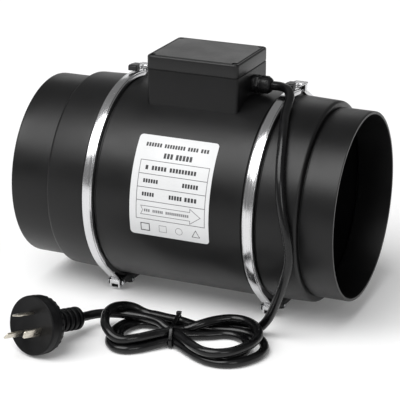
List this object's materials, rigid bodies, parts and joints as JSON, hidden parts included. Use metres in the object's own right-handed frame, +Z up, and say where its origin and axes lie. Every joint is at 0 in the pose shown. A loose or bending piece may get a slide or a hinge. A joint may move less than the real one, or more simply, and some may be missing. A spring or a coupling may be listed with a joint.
{
  "type": "inline duct fan",
  "caption": "Inline mixed-flow fan for round duct: a spigotted casing held by hinged clamp bands on rubber-padded feet, with terminal box, mains lead and plug.",
  "frame": {"origin": "on the floor below the middle of the duct", "axes": "+X along the duct, the way the air flows; +Z up; +Y away from the side with the lead"},
  "size_m": [0.36, 0.3691, 0.2695],
  "materials": {
    "black_plastic": "satin black with a fine grain",
    "lid_plastic": "satin black, a little lighter",
    "stainless": "polished stainless strip",
    "black_steel": "black coated steel",
    "zinc_steel": "zinc plated",
    "rubber": "soft black rubber",
    "motor_paint": "dark grey paint",
    "label": "white printed film",
    "brass": "bright",
    "cord": "semi-gloss black sheath",
    "pale_plastic": "moulded"
  },
  "bodies": {
    "fan": {"inlet_section": "black_plastic", "outlet_section": "black_plastic", "motor_casing": "black_plastic", "inlet_gasket": "rubber", "outlet_gasket": "rubber", "guide_vanes": "black_plastic", "motor_housing": "motor_paint", "motor_end_cap": "black_plastic", "bearing_front": "zinc_steel", "bearing_rear": "zinc_steel", "foot_inlet": "black_steel", "hinge_pin_front_inlet": "zinc_steel", "bumper_front_inlet": "rubber", "bumper_pin_front_inlet": "zinc_steel", "hinge_pin_rear_inlet": "zinc_steel", "bumper_rear_inlet": "rubber", "bumper_pin_rear_inlet": "zinc_steel", "front_strap_outlet": "stainless", "foot_outlet": "black_steel", "hinge_pin_front_outlet": "zinc_steel", "bumper_front_outlet": "rubber", "bumper_pin_front_outlet": "zinc_steel", "hinge_pin_rear_outlet": "zinc_steel", "bumper_rear_outlet": "rubber", "bumper_pin_rear_outlet": "zinc_steel", "lever_pin_outlet": "zinc_steel", "terminal_box_base": "black_plastic", "terminal_box_lid": "lid_plastic", "lid_gasket": "rubber", "lid_screw_1": "black_steel", "lid_screw_2": "black_steel", "lid_screw_3": "black_steel", "lid_screw_4": "black_steel", "terminal_block": "pale_plastic", "capacitor": "motor_paint", "gland_body": "black_plastic", "gland_nut": "black_plastic", "rating_label": "label", "cord_hank": "cord", "cord_tie": "cord", "cord_drop": "cord", "cord_tail": "cord", "plug_body": "cord", "plug_relief": "cord", "plug_pin_live": "brass", "plug_pin_neutral": "brass", "plug_pin_earth": "brass"},
    "rotor": {"motor_shaft": "zinc_steel", "impeller": "black_plastic", "impeller_cone": "black_plastic"},
    "front_half_inlet": {"front_strap_inlet": "stainless", "lever_pin_inlet": "zinc_steel"},
    "rear_half_inlet": {"rear_strap_inlet": "stainless"},
    "rear_half_outlet": {"rear_strap_outlet": "stainless"},
    "lever_inlet": {"latch_lever_inlet": "black_steel"},
    "lever_outlet": {"latch_lever_outlet": "black_steel"},
    "bail_inlet": {"latch_bail_inlet": "stainless"},
    "bail_outlet": {"latch_bail_outlet": "stainless"}
  },
  "joints": [
    {"name": "impeller_spin", "type": "hinge", "parent": "fan", "child": "rotor", "pos_m": [-0.06, 0, 0.1205], "axis": [1, 0, 0], "continuous": true},
    {"name": "front_strap_swing_inlet", "type": "hinge", "parent": "fan", "child": "front_half_inlet", "pos_m": [-0.0845, -0.045, 0.0095], "axis": [1, 0, 0], "range_deg": [0, 25]},
    {"name": "rear_strap_swing_inlet", "type": "hinge", "parent": "fan", "child": "rear_half_inlet", "pos_m": [-0.0845, 0.045, 0.0095], "axis": [1, 0, 0], "range_deg": [-40, 0]},
    {"name": "lever_turn_inlet", "type": "hinge", "parent": "front_half_inlet", "child": "lever_inlet", "pos_m": [-0.0845, 0.017, 0.2375], "axis": [1, 0, 0], "range_deg": [-150, 0]},
    {"name": "bail_turn_inlet", "type": "hinge", "parent": "lever_inlet", "child": "bail_inlet", "pos_m": [-0.0845, 0.0095, 0.2369], "axis": [1, 0, 0], "range_deg": [0, 180]},
    {"name": "rear_strap_swing_outlet", "type": "hinge", "parent": "fan", "child": "rear_half_outlet", "pos_m": [0.094, 0.045, 0.0095], "axis": [1, 0, 0], "range_deg": [-40, 0]},
    {"name": "lever_turn_outlet", "type": "hinge", "parent": "fan", "child": "lever_outlet", "pos_m": [0.094, 0.017, 0.2375], "axis": [1, 0, 0], "range_deg": [-150, 0]},
    {"name": "bail_turn_outlet", "type": "hinge", "parent": "lever_outlet", "child": "bail_outlet", "pos_m": [0.094, 0.0095, 0.2369], "axis": [1, 0, 0], "range_deg": [0, 180]}
  ],
  "couplings": [
    {"joint": "bail_turn_inlet", "follows": "lever_turn_inlet", "ratio": -1.2},
    {"joint": "bail_turn_outlet", "follows": "lever_turn_outlet", "ratio": -1.2}
  ]
}
